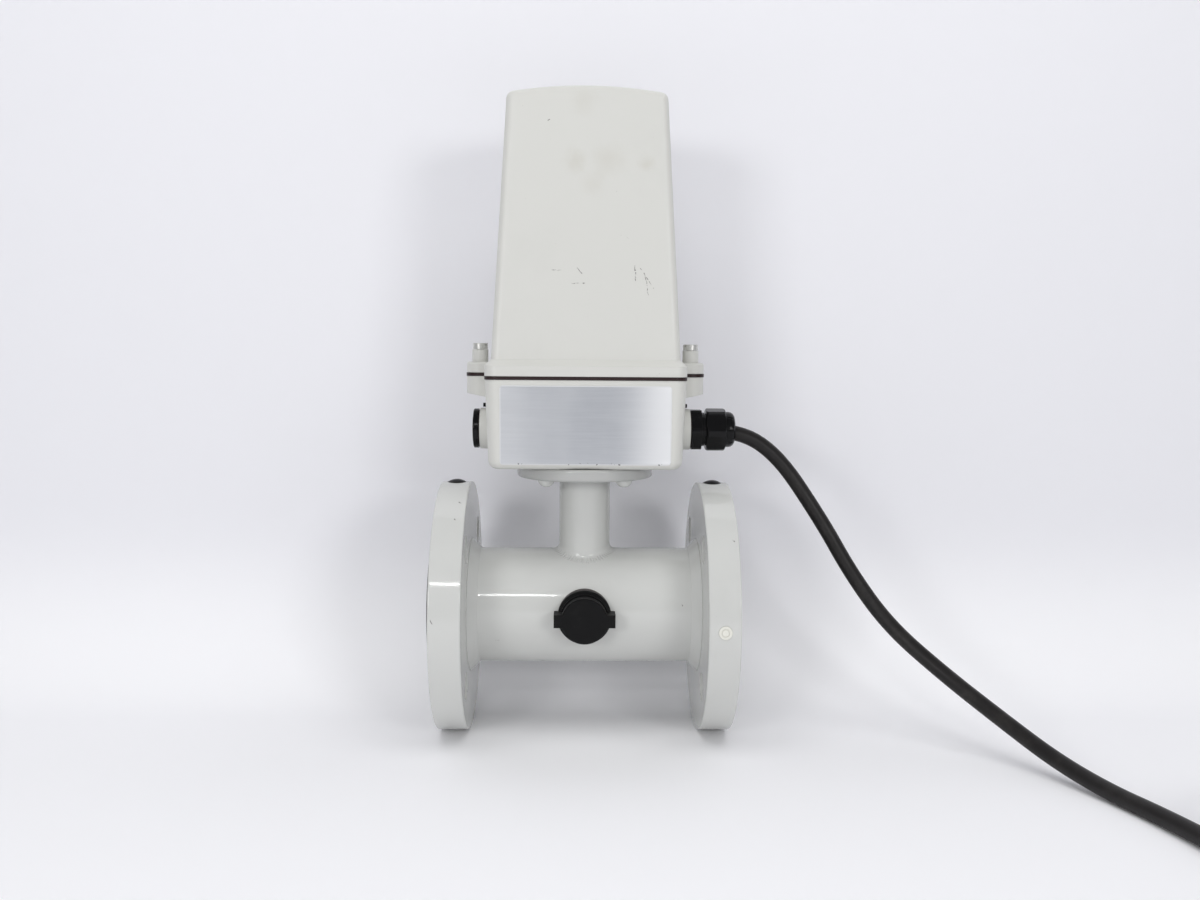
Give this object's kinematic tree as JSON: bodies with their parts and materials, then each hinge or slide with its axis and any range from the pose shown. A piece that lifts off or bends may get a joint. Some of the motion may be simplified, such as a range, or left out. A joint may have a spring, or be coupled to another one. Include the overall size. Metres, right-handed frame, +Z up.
{
  "type": "electromagnetic flow meter",
  "caption": "Flanged pipe section with a lined bore and, on a neck above it, a terminal box under a tall tapered cover; a cord leaves a gland at one side.",
  "frame": {"origin": "centre of the inlet sealing face, on the pipe axis", "axes": "+X along the pipe axis from the inlet to the outlet, +Z up to the transmitter, -Y towards the near side with the side plug"},
  "size_m": [0.5553, 0.3832, 0.4179],
  "materials": {
    "cover_paint": "satin paint",
    "body_paint": "semi-gloss paint",
    "stainless": "satin",
    "liner_rubber": "matte",
    "coil_copper": "varnished",
    "soft_iron": "matte",
    "seal_rubber": "matte",
    "port_plastic": "satin",
    "dark_plastic": "satin",
    "white_nylon": "satin",
    "gland_plastic": "satin",
    "board_green": "lacquered",
    "terminal_plastic": "satin",
    "chassis_plastic": "satin",
    "display_glass": "gloss",
    "window_glass": "clear",
    "cable_rubber": "matte",
    "tie_plastic": "satin",
    "core_copper": "bare"
  },
  "bodies": {
    "meter": {"terminal_box": "cover_paint", "inlet_flange": "body_paint", "outlet_flange": "body_paint", "sensor_housing": "body_paint", "neck_flange": "body_paint", "neck_screws": "body_paint", "measuring_tube": "stainless", "front_electrode": "stainless", "rear_electrode": "stainless", "electrode_nuts": "stainless", "module_screws": "stainless", "board_spacers": "stainless", "liner": "liner_rubber", "upper_coil": "coil_copper", "lower_coil": "coil_copper", "upper_pole_shoe": "soft_iron", "lower_pole_shoe": "soft_iron", "return_yoke": "soft_iron", "port_seals": "seal_rubber", "box_gasket": "seal_rubber", "neck_seal": "seal_rubber", "blanking_seal": "seal_rubber", "gland_seal": "seal_rubber", "gland_insert": "seal_rubber", "inlet_rim_plug": "dark_plastic", "outlet_rim_plug": "dark_plastic", "side_pins": "dark_plastic", "display_module": "dark_plastic", "outlet_side_plug": "white_nylon", "electrode_bushes": "white_nylon", "gland_body": "gland_plastic", "terminal_board": "board_green", "power_board": "board_green", "signal_board": "board_green", "supply_terminals": "terminal_plastic", "signal_terminals": "terminal_plastic", "module_chassis": "chassis_plastic", "display_pane": "display_glass", "cord": "cable_rubber", "cord_coil": "cable_rubber", "sensor_cable": "cable_rubber", "supply_cores": "cable_rubber", "coil_tie": "tie_plastic", "cord_cores": "core_copper"},
    "cover": {"cover": "cover_paint", "window_seal": "seal_rubber", "window_glass": "window_glass", "window_frame": "stainless", "window_screws": "stainless"},
    "left_cover_screw": {"left_cover_screw": "stainless"},
    "right_cover_screw": {"right_cover_screw": "stainless"},
    "blanking_plug": {"blanking_plug": "gland_plastic"},
    "gland_nut": {"gland_nut": "gland_plastic"},
    "front_port_plug": {"front_port_plug": "port_plastic"},
    "rear_port_plug": {"rear_port_plug": "port_plastic"}
  },
  "joints": [
    {"name": "cover_lift", "type": "slide", "parent": "meter", "child": "cover", "axis": [0, 0, 1], "range_m": [0, 0.19]},
    {"name": "left_cover_screw_turn", "type": "hinge", "parent": "cover", "child": "left_cover_screw", "pos_m": [0.03025, 0, 0.17], "axis": [0, 0, 1], "range_deg": [0, 1080]},
    {"name": "right_cover_screw_turn", "type": "hinge", "parent": "cover", "child": "right_cover_screw", "pos_m": [0.16975, 0, 0.17], "axis": [0, 0, 1], "range_deg": [0, 1080]},
    {"name": "blanking_plug_turn", "type": "hinge", "parent": "meter", "child": "blanking_plug", "pos_m": [0.028, 0, 0.1185], "axis": [-1, 0, 0], "range_deg": [0, 1080]},
    {"name": "gland_nut_turn", "type": "hinge", "parent": "meter", "child": "gland_nut", "pos_m": [0.188, 0, 0.1185], "axis": [1, 0, 0], "range_deg": [0, 1080]},
    {"name": "front_port_plug_turn", "type": "hinge", "parent": "meter", "child": "front_port_plug", "pos_m": [0.1, -0.045, 0], "axis": [0, -1, 0], "range_deg": [0, 810]},
    {"name": "rear_port_plug_turn", "type": "hinge", "parent": "meter", "child": "rear_port_plug", "pos_m": [0.1, 0.045, 0], "axis": [0, 1, 0], "range_deg": [0, 810]}
  ]
}
